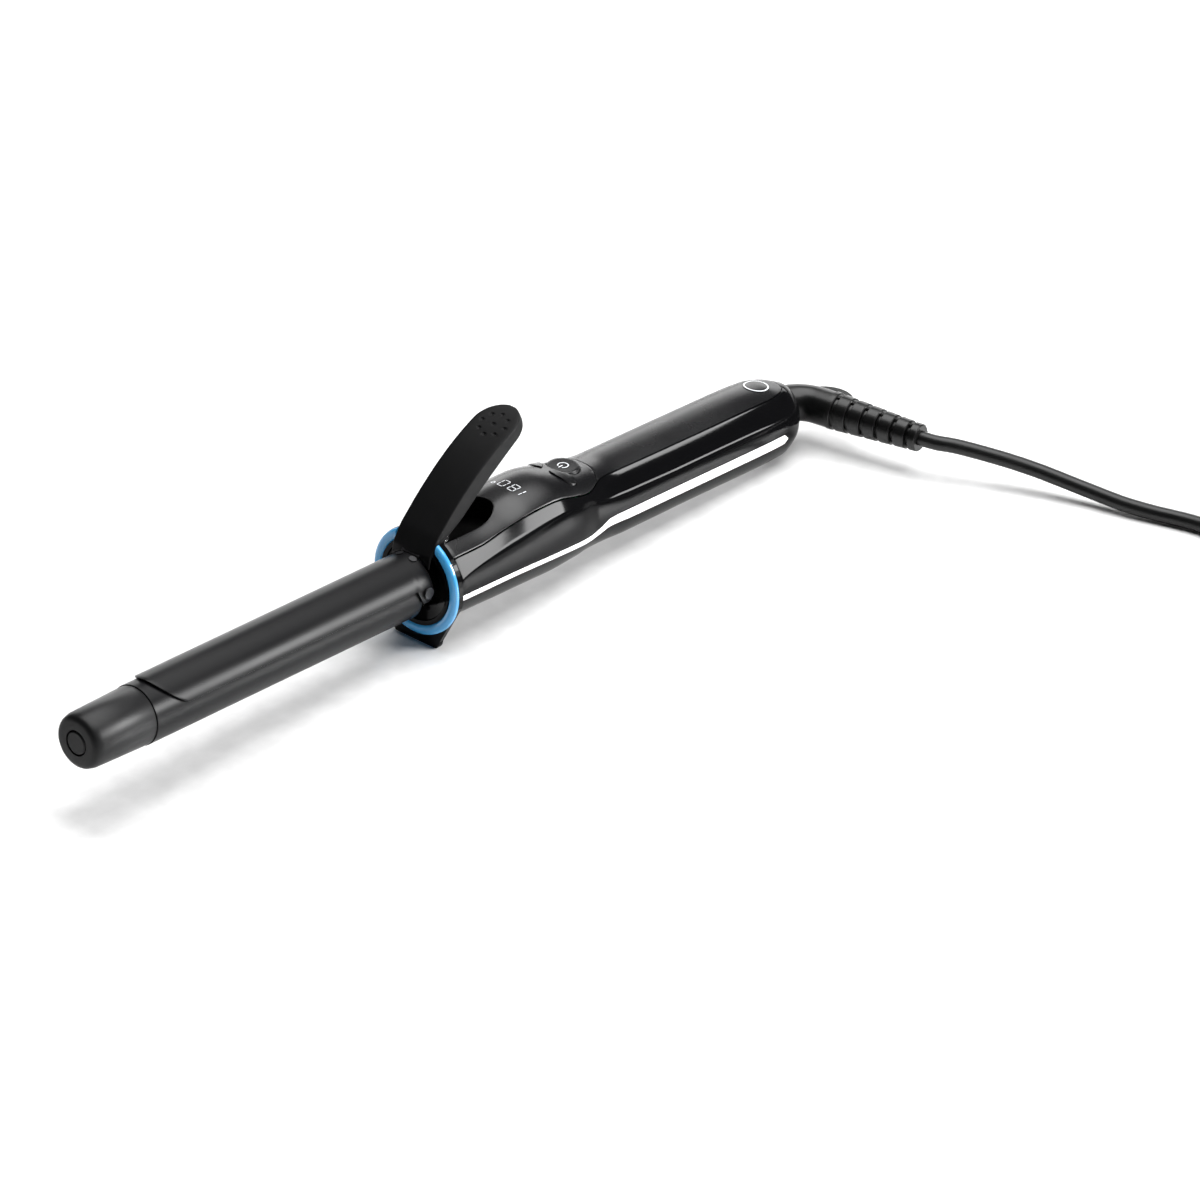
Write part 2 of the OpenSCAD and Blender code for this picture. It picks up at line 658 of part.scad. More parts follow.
module swivel_socket() {
    color([0.08, 0.08, 0.08]) placed() difference() {
        union() {
            rod(socket_front, socket_back, 7.6, 0, stem_z);
            translate([socket_front, -11.5, stem_z - 1.5]) cube([3, 23, 3]);
        }
        rod(socket_front - 1, socket_back + 1, stem_r + socket_fit, 0, stem_z);
    }
}
// Two sprung contacts on the board, one on each side of the slip rings
module contact_brushes() {
    color([0.8, 0.6, 0.2]) placed() for (i = [0:1]) {
        y = i == 0 ? 4.3 : -4.8;
        translate([126, y, -2]) cube([12.2 + i * 4, 0.5, 1.2]);
        translate([136.4 + i * 4, y, -2]) cube([1.8, 0.5, 6]);
    }
}

// Elbow that turns in the socket; its stem lies along the handle
module swivel_elbow() {
    color([0.07, 0.07, 0.07]) placed() union() {
        rod(144, elbow_x, stem_r, 0, stem_z);
        translate([elbow_x, -elbow_bend, stem_z])
            rotate_extrude(angle = elbow_turn, start = 90 - elbow_turn, $fn = fine)
                translate([elbow_bend, 0]) circle(r = stem_r, $fn = 48);
        at_elbow_end() rotate([0, 90, 0]) cylinder(h = elbow_straight, r = stem_r, $fn = 48);
        at_elbow_end() hang_eye();
    }
}
module swivel_retainer() {
    color("silver") placed() difference() {
        rod(145.2, 146.6, 7.4, 0, stem_z);
        rod(145, 147, stem_r + 0.01, 0, stem_z);
    }
}
module slip_rings() {
    color([0.8, 0.6, 0.2]) placed() union() {
        rod(135, 144, 2.6, 0, stem_z);
        for (i = [0:1]) {
            rod(136.2 + i * 4, 138.4 + i * 4, 4, 0, stem_z);
        }
    }
}

// Frame at the end of the elbow's bend, with its own X along the cord
module at_elbow_end() {
    translate([elbow_x + elbow_bend * sin(elbow_turn), elbow_bend * cos(elbow_turn) - elbow_bend, stem_z])
        rotate([0, 0, -elbow_turn]) children();
}
// Flat eye for hanging, on the outside of the elbow; it stands clear of the strain relief
eye_r = 8.8;
module hang_eye() {
    difference() {
        translate([-0.2, 4.5, -2.3]) linear_extrude(2.6) difference() {
            polygon(concat([[eye_r, -1], [eye_r, 0]], [for (a = [10:10:170]) eye_r * [cos(a), sin(a)]],
                [[-eye_r, 0], [-eye_r, -3.5]]));
            polygon([for (a = [0:15:345]) [5.6 * cos(a), 3.8 + 3 * sin(a)]]);
        }
        translate([elbow_straight, 0, 0]) rotate([0, 90, 0])
            cylinder(h = 8, r = relief_root_r + 0.1, $fn = 48);
    }
}
// Ribbed, tapered strain relief with side slots and alternating notches above and below
module strain_relief() {
    rib = 5.2;
    color([0.07, 0.07, 0.07]) placed() at_elbow_end() translate([elbow_straight, 0, 0]) difference() {
        rotate([0, 90, 0]) cylinder(h = relief_length, r1 = relief_root_r, r2 = relief_tip_r, $fn = 48);
        for (i = [0:5]) {
            for (s = [-1, 1]) {
                translate([1.4 + i * rib, s * 6.4 - 3, -4]) cube([0.7, 6, 8]);
                translate([3.4 + i * rib, -5, s * 6.4 - 3]) cube([1.3, 10, 6]);
            }
        }
    }
}

module cord() {
    color([0.05, 0.05, 0.05]) tube(ROUTE, cord_d / 2, 10);
}
module cord_end() {
    color([0.05, 0.05, 0.05]) tube(END_ROUTE, cord_d / 2, 10);
}
module cord_coil() {
    color([0.05, 0.05, 0.05]) translate([coil_centre.x, coil_centre.y, coil_base])
        rotate_extrude($fn = fine) translate([coil_mean_r - coil_half, 0])
            square([2 * coil_half, coil_height]);
}
module coil_tie() {
    w = 2 * coil_half;
    color([0.1, 0.1, 0.1]) translate([coil_centre.x + coil_mean_r, coil_centre.y + 3, 0])
        rotate([90, 0, 0]) linear_extrude(6) difference() {
            translate([-coil_half - 0.9, 0]) square([w + 1.8, coil_height + 1.9]);
            translate([-coil_half - 0.1, 0.9]) square([w + 0.2, coil_height + 0.2]);
        }
}

module at_plug() {
    translate([plug_x, plug_tail_y, plug_z]) rotate([-90, 0, 0]) children();
}
module plug_relief() {
    color([0.06, 0.06, 0.06]) at_plug()
        cylinder(h = plug_relief_length, r1 = cord_d / 2 + 0.6, r2 = 4.8, $fn = 48);
}
function plug_outline() = let (w = plug_half_w, h = plug_half_h, c = 6.2) concat(
    [for (a = [0:15:60]) [w - 2 + 2 * cos(a), 2 * sin(a)]], [[w - c, h]], [[c - w, h]],
    [for (a = [120:15:240]) [2 - w + 2 * cos(a), 2 * sin(a)]], [[c - w, -h]], [[w - c, -h]],
    [for (a = [300:15:345]) [w - 2 + 2 * cos(a), 2 * sin(a)]]
);
module plug_body() {
    color([0.06, 0.06, 0.06]) at_plug() translate([0, 0, plug_relief_length]) linear_extrude(plug_length)
        polygon(plug_outline());
}
module plug_pins() {
    color("silver") at_plug() for (s = [-1, 1]) {
        translate([s * pin_spacing / 2, 0, plug_relief_length + plug_length])
            cylinder(h = pin_length, r = pin_r, $fn = 48);
    }
}

barrel_tube();
tip_cap();
tip_plug();
tip_screw();
heater_block_upper();
heater_block_lower();
ptc_elements();
temperature_sensor();
thermal_fuse();
heater_wires();
barrel_neck();
hinge_rivets();
clip_plate();
lever_arm();
clip_rivets();
clip_lever();
clip_spring();
guard_collar();
light_ring();
ring_led_board();
ring_leds();
stand_flange();
lower_shell();
control_panel();
rear_cover();
lever_well();
trim_left();
trim_right();
display_module();
control_board();
button_switches();
button_power();
button_plus();
button_minus();
main_board();
film_capacitor();
triac();
board_posts();
board_screws();
end_badge();
swivel_socket();
contact_brushes();
swivel_elbow();
swivel_retainer();
slip_rings();
strain_relief();
cord();
cord_coil();
cord_end();
coil_tie();
plug_relief();
plug_body();
plug_pins();
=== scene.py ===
"""Looks of the curling iron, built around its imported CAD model.

Shapes are worked out in the iron's own frame, in millimetres: +X runs from the light ring to the cord,
+Z is up and the origin is the centre of the light ring on the barrel's axis. place() turns them into
metres in the frame that the CAD, the joints and the camera share.
"""

import json
import math

import bmesh
import bpy
import numpy as np
from mathutils import Matrix, Vector


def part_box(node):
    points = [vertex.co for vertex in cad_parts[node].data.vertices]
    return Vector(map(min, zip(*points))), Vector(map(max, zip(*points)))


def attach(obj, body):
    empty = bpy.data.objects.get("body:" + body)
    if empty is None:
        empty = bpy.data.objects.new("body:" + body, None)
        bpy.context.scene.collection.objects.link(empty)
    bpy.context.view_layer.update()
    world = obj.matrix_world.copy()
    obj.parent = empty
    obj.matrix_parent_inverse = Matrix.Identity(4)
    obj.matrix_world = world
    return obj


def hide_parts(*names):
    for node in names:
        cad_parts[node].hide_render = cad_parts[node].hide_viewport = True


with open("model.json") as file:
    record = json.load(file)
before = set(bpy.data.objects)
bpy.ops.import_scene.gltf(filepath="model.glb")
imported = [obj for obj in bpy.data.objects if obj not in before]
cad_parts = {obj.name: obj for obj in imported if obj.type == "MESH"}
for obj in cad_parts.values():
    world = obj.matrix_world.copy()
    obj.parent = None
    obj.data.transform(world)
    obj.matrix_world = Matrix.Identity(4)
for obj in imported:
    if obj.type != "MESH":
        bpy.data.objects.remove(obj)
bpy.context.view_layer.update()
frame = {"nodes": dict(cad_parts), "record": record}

MM = 0.001
PITCH = math.radians(3)

# The clip's hinge is known in both frames, so it ties the two together
HINGE = Vector((-6, 0, 2))
TURN = Matrix.Rotation(PITCH, 3, "Y")
hinge_low, hinge_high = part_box("hinge_rivets")
ORIGIN = (hinge_low + hinge_high) / 2 / MM - TURN @ HINGE


def place(point):
    """A point of the iron's frame, in millimetres, as metres in the shared frame."""
    return (TURN @ Vector(point) + ORIGIN) * MM


# ---------------------------------------------------------------- camera and cord

def make_camera():
    """The camera that matches the photograph."""
    data = bpy.data.cameras.new("camera")
    data.lens = 301.5
    data.sensor_width = 36
    data.clip_end = 20
    camera = bpy.data.objects.new("camera", data)
    bpy.context.collection.objects.link(camera)
    camera.location = (-1.8885, -1.7880, 1.5413)
    aim = Vector((0.0150, -0.0417, 0.0145))
    camera.rotation_euler = (aim - camera.location).to_track_quat("-Z", "Y").to_euler()
    bpy.context.scene.camera = camera


CORD_D = 4.8
ROUTE = [
    (157.2, -45.0, 11.7), (158.7, -50.0, 11.4), (161.7, -55.5, 11.0), (165.5, -63.2, 9.9),
    (169.2, -71.3, 8.6), (172.7, -79.7, 7.0), (175.5, -88.7, 5.4), (178.0, -97.8, 4.0),
    (180.1, -107.4, 3.0), (182.7, -116.4, 2.5), (185.1, -124.0, 2.4), (187.1, -132.0, 2.4),
    (188.1, -141.0, 2.4), (188.2, -151.0, 2.4), (187.5, -162.0, 2.6), (186.8, -174.0, 3.4),
]
COIL_CENTRE = (220.5, -178)
COIL_START = 173
TURN_GAP = 4.9
TURN_RADII = (33.85, 28.95, 24.05, 19.15)
COIL_FLOOR = 3.45
LEAVING_STEPS = 10
END_RADIUS = 31
END_TURN = 22
END_STRAIGHT = 3
END_Z = 18.0
PLUG_Z = 22.8


def smooth_step(t):
    """Eases from 0 to 1 as t goes from 0 to 1."""
    t = min(max(t, 0), 1)
    return t * t * (3 - 2 * t)


def coil_points():
    """The coil's turns, row on row: inwards, outwards, then inwards again and up to the free end."""
    stops = [(r, 0) for r in TURN_RADII]
    stops += [(r, 1) for r in reversed(TURN_RADII)]
    stops += [(r, 2) for r in TURN_RADII[:3]]
    points = []
    for k, (radius, row) in enumerate(stops):
        following = stops[k + 1] if k + 1 < len(stops) else (radius, row)
        for step in range(24 if k + 1 < len(stops) else 24 - LEAVING_STEPS):
            share = smooth_step((step - 14) / 10)
            r = radius + (following[0] - radius) * share
            z = COIL_FLOOR + TURN_GAP * (row + (following[1] - row) * share)
            a = math.radians(COIL_START + 15 * (step + 1))
            points.append((COIL_CENTRE[0] + r * math.cos(a), COIL_CENTRE[1] + r * math.sin(a), z))
    return points


def end_points():
    """From the last turn up and over the coil, then a quarter turn to the plug."""
    points = []
    last_r, last_z = TURN_RADII[2], COIL_FLOOR + 2 * TURN_GAP
    first, last = COIL_START - 15 * LEAVING_STEPS, 260
    for a in range(first + 9, last, 9):
        t = (a - first) / (last - first)
        r = last_r + (END_RADIUS - last_r) * smooth_step((t - 0.3) / 0.7)
        z = last_z + (END_Z - last_z) * smooth_step(t / 0.6)
        points.append((COIL_CENTRE[0] + r * math.cos(math.radians(a)),
                       COIL_CENTRE[1] + r * math.sin(math.radians(a)), z))
    for a in range(270, 361, 10):
        c, s = math.cos(math.radians(a)), math.sin(math.radians(a))
        points.append((COIL_CENTRE[0] + END_TURN * c, COIL_CENTRE[1] - END_RADIUS + END_TURN * (1 + s),
                       END_Z + (PLUG_Z - END_Z) * (a - 270) / 90))
    points.append((points[-1][0], points[-1][1] + END_STRAIGHT, PLUG_Z))
    return points


def end_faces(rows, columns):
    """The faces that close a tube of rows rings with columns points each."""
    return [list(range(columns))[::-1], list(range((rows - 1) * columns, rows * columns))]


def tube_mesh(name, points, radius, sides=16):
    """A closed round tube along points, given in metres."""
    verts, faces = [], []
    up = Vector((0.02, 0.01, 1))
    for i, p in enumerate(points):
        along = (points[min(i + 1, len(points) - 1)] - points[max(i - 1, 0)]).normalized()
        across = up.cross(along).normalized()
        above = along.cross(across)
        verts += [p + radius * (math.cos(a) * across + math.sin(a) * above)
                  for a in [2 * math.pi * k / sides for k in range(sides)]]
    for i in range(len(points) - 1):
        for k in range(sides):
            n = (k + 1) % sides
            faces.append([i * sides + k, i * sides + n, (i + 1) * sides + n, (i + 1) * sides + k])
    faces += end_faces(len(points), sides)
    mesh = bpy.data.meshes.new(name)
    mesh.from_pydata(verts, [], faces)
    for polygon in mesh.polygons:
        polygon.use_smooth = True
    mesh.set_sharp_from_angle(angle=math.radians(50))
    return mesh


def rounded_path(points, parts=3):
    """Catmull-Rom line through the points, so that nothing swept along it has corners."""
    line = []
    for i in range(len(points) - 1):
        a, b, c, d = (points[min(max(k, 0), len(points) - 1)] for k in (i - 1, i, i + 1, i + 2))
        for k in range(parts):
            t = k / parts
            line.append(0.5 * (2 * b + (c - a) * t + (2 * a - 5 * b + 4 * c - d) * t**2
                               + (3 * b - a - 3 * c + d) * t**3))
    return line + [points[-1]]


def make_cord(mat):
    """The whole cord as one tube, with its real length in the coil."""
    points = rounded_path([Vector(p) * MM for p in ROUTE + coil_points() + end_points()])
    cord = bpy.data.objects.new("mains_cord", tube_mesh("mains_cord", points, CORD_D / 2 * MM))
    bpy.context.collection.objects.link(cord)
    cord.data.materials.append(mat)
    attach(cord, "cord_swivel")
    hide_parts("cord", "cord_coil", "cord_end")


# ---------------------------------------------------------------- materials

def material(name, colour, roughness, metallic=0, grain=900, bump=0.02, spread=0.06, coat=0,
             scratches=False, emission=None, subsurface=0, specular=0.5):
    """A surface with fine moulded or coated grain, uneven gloss and faint handling marks."""
    mat = bpy.data.materials.new(name)
    mat.use_nodes = True
    nodes, links = mat.node_tree.nodes, mat.node_tree.links
    shader = nodes["Principled BSDF"]
    shader.inputs["Metallic"].default_value = metallic
    shader.inputs["Coat Weight"].default_value = coat
    shader.inputs["Coat Roughness"].default_value = 0.04
    shader.inputs["Specular IOR Level"].default_value = specular
    shader.inputs["Subsurface Weight"].default_value = subsurface
    shader.inputs["Subsurface Radius"].default_value = (0.002, 0.003, 0.004)
    if emission:
        shader.inputs["Emission Color"].default_value = (*emission[:3], 1)
        shader.inputs["Emission Strength"].default_value = emission[3]
    where = nodes.new("ShaderNodeTexCoord")

    def noise(scale, detail=3, stretch=(1, 1, 1)):
        mapping = nodes.new("ShaderNodeMapping")
        mapping.inputs["Scale"].default_value = stretch
        texture = nodes.new("ShaderNodeTexNoise")
        texture.inputs["Scale"].default_value = scale
        texture.inputs["Detail"].default_value = detail
        links.new(where.outputs["Object"], mapping.inputs["Vector"])
        links.new(mapping.outputs["Vector"], texture.inputs["Vector"])
        return texture.outputs["Fac"]

    def spread_over(value, low, high):
        node = nodes.new("ShaderNodeMapRange")
        node.inputs["From Min"].default_value = 0.3
        node.inputs["From Max"].default_value = 0.7
        node.inputs["To Min"].default_value = low
        node.inputs["To Max"].default_value = high
        links.new(value, node.inputs["Value"])
        return node.outputs["Result"]

    handling = noise(45, 4)
    links.new(spread_over(handling, roughness - spread, roughness + spread), shader.inputs["Roughness"])
    tint = nodes.new("ShaderNodeMix")
    tint.data_type = "RGBA"
    tint.inputs[6].default_value = (*colour, 1)
    tint.inputs[7].default_value = (*[min(1, c * 1.12) for c in colour], 1)
    links.new(spread_over(noise(120, 5), 0, 1), tint.inputs[0])
    links.new(tint.outputs[2], shader.inputs["Base Color"])
    fine = noise(grain, 2, (0.05, 1, 1) if scratches else (1, 1, 1))
    relief = nodes.new("ShaderNodeBump")
    relief.inputs["Strength"].default_value = bump
    relief.inputs["Distance"].default_value = 0.0001
    links.new(fine, relief.inputs["Height"])
    links.new(relief.outputs["Normal"], shader.inputs["Normal"])
    return mat


COATING = {"grain": 2200, "bump": 0.05, "spread": 0.02, "specular": 0.13}
POLISHED = {"metallic": 1, "scratches": True}


def make_materials():
    """One material for each of the record's slots, and one for the printed marks, whose white glows a little:
    the display's own light on the digits, a painted glow on the other marks.
    """
    recipes = {
        "barrel_black": ((0.005, 0.005, 0.0055), 0.32, COATING),
        "tip_black": ((0.008, 0.008, 0.0085), 0.38, {"grain": 1600, "bump": 0.15, "specular": 0.2}),
        "clip_black": ((0.005, 0.005, 0.0055), 0.32, COATING),
        "lever_black": ((0.005, 0.005, 0.0053), 0.45, {"grain": 2600, "bump": 0.15, "specular": 0.12}),
        "shell_black": ((0.0025, 0.0025, 0.0028), 0.1, {"spread": 0.02, "bump": 0.01, "specular": 0.085}),
        "panel_black": ((0.004, 0.004, 0.0045), 0.27, {"spread": 0.03, "bump": 0.01, "specular": 0.4}),
        "ring_blue": ((0.06, 0.30, 0.58), 0.12, {"spread": 0.04, "coat": 0.4, "subsurface": 0.2,
                                                 "emission": (0.04, 0.28, 0.58, 0.15)}),
        # The trim's emission is a painted glow that keeps the strip white; the strip is no lamp.
        "trim_white": ((0.85, 0.85, 0.85), 0.2, {"spread": 0.05, "emission": (1, 1, 1, 0.25)}),
        "badge_silver": ((0.78, 0.78, 0.8), 0.16, POLISHED),
        "neck_black": ((0.003, 0.003, 0.003), 0.22, {"grain": 1500, "bump": 0.1, "specular": 0.3}),
        "bright_steel": ((0.56, 0.56, 0.56), 0.26, {"bump": 0.1, **POLISHED}),
        "dark_steel": ((0.03, 0.03, 0.032), 0.35, {"metallic": 0.6, "bump": 0.1}),
        "aluminium": ((0.7, 0.7, 0.72), 0.45, {"metallic": 1, "bump": 0.4}),
        "heater_ceramic": ((0.3, 0.27, 0.25), 0.7, {"bump": 0.4}),
        "board_green": ((0.02, 0.14, 0.05), 0.35, {"bump": 0.2}),
        "component_dark": ((0.02, 0.02, 0.02), 0.5, {"bump": 0.3}),
        "component_yellow": ((0.65, 0.42, 0.03), 0.4, {"bump": 0.2}),
        "led_white": ((0.8, 0.82, 0.74), 0.2, {}),
        "wire_red": ((0.42, 0.02, 0.015), 0.45, {"bump": 0.2}),
        "contact_brass": ((0.72, 0.5, 0.18), 0.3, {"bump": 0.15, **POLISHED}),
        "elbow_black": ((0.004, 0.004, 0.004), 0.3, {"grain": 1700, "bump": 0.2, "specular": 0.35}),
        "cord_rubber": ((0.005, 0.005, 0.005), 0.36, {"grain": 1500, "bump": 0.3, "specular": 0.35}),
        # Emission on the printed marks: on the display digits it is the display's own light; on the power
        # mark and the badge's rim, which are no lamps, it is a painted glow.
        "legend_lit_and_painted_glow": ((0.7, 0.72, 0.75), 0.3, {"emission": (1, 1, 1, 0.25)}),
    }
    return {name: material(name, colour, roughness, **more)
            for name, (colour, roughness, more) in recipes.items()}


def paint_cad_nodes(mats):
    """Gives every imported CAD node the look of its slot."""
    slot_of = {s["node"]: s["material_slot"] for s in frame["record"]["subparts"]}
    for name, obj in frame["nodes"].items():
        obj.data.materials.clear()
        obj.data.materials.append(mats[slot_of[name]])


# ---------------------------------------------------------------- mesh helpers

def add_piece(name, points, faces, body, mat, slot_name, stands_for=(), sharp=35):
    """A mesh from points in the iron's frame; it rides on body and may stand for CAD nodes."""
    mesh = bpy.data.meshes.new(name)
    mesh.from_pydata([place(p) for p in points], [], faces)
    mesh.validate()
    bm = bmesh.new()
    bm.from_mesh(mesh)
    bmesh.ops.remove_doubles(bm, verts=bm.verts, dist=1e-7)
    bmesh.ops.recalc_face_normals(bm, faces=bm.faces)
    bm.to_mesh(mesh)
    bm.free()
    obj = bpy.data.objects.new(name, mesh)
    bpy.context.collection.objects.link(obj)
    mesh.materials.append(mat)
    smooth(obj, sharp)
    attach(obj, body)
    if stands_for:
        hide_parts(*stands_for)
    return obj


def smooth(obj, sharp):
    """Shades smooth, apart from edges sharper than the angle in degrees."""
    for polygon in obj.data.polygons:
        polygon.use_smooth = True
    obj.data.set_sharp_from_angle(angle=math.radians(sharp))


def apply(obj, kind, sharp=35, **settings):
    """Adds a modifier and applies it."""
    modifier = obj.modifiers.new(kind.lower(), kind)
    for key, value in settings.items():
        setattr(modifier, key, value)
    bpy.context.view_layer.update()
    mesh = bpy.data.meshes.new_from_object(obj.evaluated_get(bpy.context.evaluated_depsgraph_get()))
    old = obj.data
    obj.modifiers.clear()
    obj.data = mesh
    mesh.name = obj.name
    bpy.data.meshes.remove(old)
    smooth(obj, sharp)
    return obj


def ease_edges(obj, width):
    """Rounds the sharp edges, with the width in millimetres, so that they catch the light."""
    return apply(obj, "BEVEL", width=width * MM, segments=2, limit_method="ANGLE",
                 angle_limit=math.radians(50))


def cut(obj, points, faces, keep_inside=False):
    """Cuts a closed shape, given in the iron's frame, out of obj, or keeps only what is inside it."""
    mesh = bpy.data.meshes.new("cutter")
    mesh.from_pydata([place(p) for p in points], [], faces)
    bm = bmesh.new()
    bm.from_mesh(mesh)
    bmesh.ops.recalc_face_normals(bm, faces=bm.faces)
    bm.to_mesh(mesh)
    bm.free()
    cutter = bpy.data.objects.new("cutter", mesh)
    bpy.context.collection.objects.link(cutter)
    apply(obj, "BOOLEAN", object=cutter, solver="EXACT",
          operation="INTERSECT" if keep_inside else "DIFFERENCE")
    bpy.data.objects.remove(cutter)
    return obj


def prism(outline, low, high):
    """A closed prism over an outline of (x, y) points."""
    n = len(outline)
    points = [(x, y, low) for x, y in outline] + [(x, y, high) for x, y in outline]
    faces = [list(range(n))[::-1], list(range(n, 2 * n))]
    faces += [[i, (i + 1) % n, n + (i + 1) % n, n + i] for i in range(n)]
    return points, faces


def grid_faces(rows, columns, closed=False):
    """Quads between the points of a grid, row by row."""
    last = columns if closed else columns - 1
    return [[r * columns + c, r * columns + (c + 1) % columns,
             (r + 1) * columns + (c + 1) % columns, (r + 1) * columns + c]
            for r in range(rows - 1) for c in range(last)]


def lathe(profile, steps=144):
    """A closed ring turned about the barrel's axis from a loop of (x, r) points."""
    points = [(x, r * math.cos(a), r * math.sin(a))
              for a in [2 * math.pi * k / steps for k in range(steps)] for x, r in profile]
    n = len(profile)
    faces = []
    for k in range(steps):
        a, b = k * n, (k + 1) % steps * n
        faces += [[a + i, a + (i + 1) % n, b + (i + 1) % n, b + i] for i in range(n)]
    return points, faces


# ---------------------------------------------------------------- handle's surface

# Handle stations: x, half width, top, bottom, roundness
STATIONS = [
    (2, 16.6, 16.2, -11.8, 2.2), (14, 16.5, 15.9, -11.8, 2.3), (26, 16.3, 16.4, -12.0, 2.4),
    (38, 16.0, 17.7, -12.5, 2.4), (48, 15.6, 18.2, -12.9, 2.4), (58, 14.9, 16.9, -12.7, 2.3),
    (66, 13.9, 15.0, -12.1, 2.3), (73, 13.8, 13.6, -12.0, 2.3), (80, 14.0, 12.9, -12.2, 2.3),
    (110, 14.0, 12.5, -12.1, 2.3), (140, 14.0, 12.1, -12.3, 2.3), (152, 13.6, 11.6, -12.1, 2.3),
    (158, 12.2, 10.5, -10.2, 2.2), (161.5, 9.9, 9.3, -7.6, 2.1), (163.5, 7.5, 8.5, -6.5, 2.0),
]
# Half width of the top covers between the two seams
SEAM = [
    (2, 12.9), (14, 12.8), (28, 12.0), (41, 11.9), (53, 12.0), (60, 11.9), (64.5, 11.1), (68, 9.8),
    (72, 8.4), (77, 7.8), (113, 7.9), (148, 7.6), (154, 6.8), (157, 5.6), (159, 3.9), (160.3, 0),
]
# Lower edge of the bright facet at the front, then of the channel behind it: x, height
CREASE = [
    (2, 5.0), (7, 6.5), (13, 7.6), (20, 8.8), (26, 9.5), (33.5, 10.1), (41.5, 10.4), (49, 10.3),
    (56.5, 9.6), (62.5, 8.6), (67, 7.6), (72, 6.8), (85, 6.4), (102, 6.0), (121, 5.9), (139, 5.7),
    (153, 5.3), (158, 5.0), (163.5, 4.4),
]
TRIM = [
    (2, 0.3, -1.4), (23, -0.1, -1.7), (47, -1.3, -3.0), (62, -2.1, -4.0), (66, -1.3, -3.4),
    (71, 0.5, -2.2), (79, 0.7, -2.3), (110, 0.5, -2.6), (152, 0.2, -2.8),
]
FACET = [(2, 1), (46, 1), (66, 0), (164, 0)]
CHANNEL = [(2, 0), (68, 0), (73, 1), (153, 1), (157.5, 0), (164, 0)]
CHANNEL_DEPTH = 0.9
MIDDLE_DROP = [(2, 1), (152, 1), (163.5, 0)]
SHELL_FRONT, SHELL_END, COVER_END = 2.1, 163.5, 160.3


def at(table, column, x):
    """Smooth interpolation, without overshoot, of one column of a table."""
    i = 0
    while i < len(table) - 2 and x >= table[i + 1][0]:
        i += 1

    def rise(k):
        return (table[k + 1][column] - table[k][column]) / (table[k + 1][0] - table[k][0])

    def tangent(k):
        if k == 0:
            return rise(0)
        if k == len(table) - 1:
            return rise(k - 1)
        a, b = rise(k - 1), rise(k)
        return 0 if a * b <= 0 else 2 * a * b / (a + b)

    h = table[i + 1][0] - table[i][0]
    s = (x - table[i][0]) / h
    return ((2 * s**3 - 3 * s**2 + 1) * table[i][column] + (s**3 - 2 * s**2 + s) * h * tangent(i)
            + (3 * s**2 - 2 * s**3) * table[i + 1][column] + (s**3 - s**2) * h * tangent(i + 1))


def section(x):
    """The handle's cross section at x: half width, top, bottom, exponent and middle height."""
    width, top, bottom, n = (at(STATIONS, k, x) for k in (1, 2, 3, 4))
    return width, top, bottom, n, (top + bottom) / 2 - at(MIDDLE_DROP, 1, x)


def skin(x, angle, inset=0):
    """Point of the handle's surface at an angle, in degrees, up from its +Y side."""
    width, top, bottom, n, middle = section(x)
    c, s = math.cos(math.radians(angle)), math.sin(math.radians(angle))
    height = top - middle if s > 0 else middle - bottom
    return Vector((x, (width - inset) * math.copysign(abs(c) ** (2 / n), c),
                   middle + (height - inset) * math.copysign(abs(s) ** (2 / n), s)))


def skin_height(x, y):
    """Height of the handle's top surface above its axis at x, y."""
    width, top, bottom, n, middle = section(x)
    return middle + (top - middle) * max(0, 1 - (abs(y) / width) ** n) ** (1 / n)


def seam_angle(x, inset=0):
    """Angle of the seam between the covers and the lower shell at x."""
    width, n = at(STATIONS, 1, x), at(STATIONS, 4, x)
    half = max(at(SEAM, 1, min(x, COVER_END)) - inset, 0)
    return math.degrees(math.acos(min(1, half / width) ** (n / 2)))


def angle_of_height(x, z):
    """Angle on the outline at x where the surface has the height z."""
    width, top, bottom, n, middle = section(x)
    height = top - middle if z > middle else middle - bottom
    share = min(1, abs(z - middle) / height)
    return math.copysign(math.degrees(math.asin(share ** (n / 2))), z - middle)


def spaced(start, stop, step):
    """Numbers from start to stop, about step apart."""
    count = max(2, round((stop - start) / step) + 1)
    return [start + (stop - start) * k / (count - 1) for k in range(count)]


def shell_section(x):
    """The lower shell's outline at x, from the +Y seam round the bottom to the other one."""
    seam = seam_angle(x)
    crease = min(angle_of_height(x, at(CREASE, 1, x)), seam - 0.5)
    a, b = skin(x, seam), skin(x, crease)
    flat, channel = at(FACET, 1, x), at(CHANNEL, 1, x)
    side = []
    for k in range(15):
        t = k / 14
        p = skin(x, seam + (crease - seam) * t).lerp(a.lerp(b, t), flat)
        inward = Vector((0, -1, -0.35)).normalized()
        side.append(p + inward * CHANNEL_DEPTH * channel * math.sin(math.pi * t) ** 0.8)
    for k in range(1, 33):
        side.append(skin(x, crease + (-90 - crease) * k / 32))
    return side + [Vector((p.x, -p.y, p.z)) for p in reversed(side[:-1])]


def make_lower_shell(mats):
    """Glossy lower shell of the handle."""
    xs = spaced(SHELL_FRONT, 150, 1.6) + spaced(150.5, SHELL_END, 0.5)
    rows = [shell_section(x) for x in xs]
    columns = len(rows[0])
    shell = add_piece("handle_shell", [p for row in rows for p in row], grid_faces(len(rows), columns),
                      "iron", mats["shell_black"], "shell_black", ["lower_shell"])
    apply(shell, "SOLIDIFY", thickness=1.0 * MM, offset=-1 if outward(shell) else 1)
    return ease_edges(shell, 0.12)


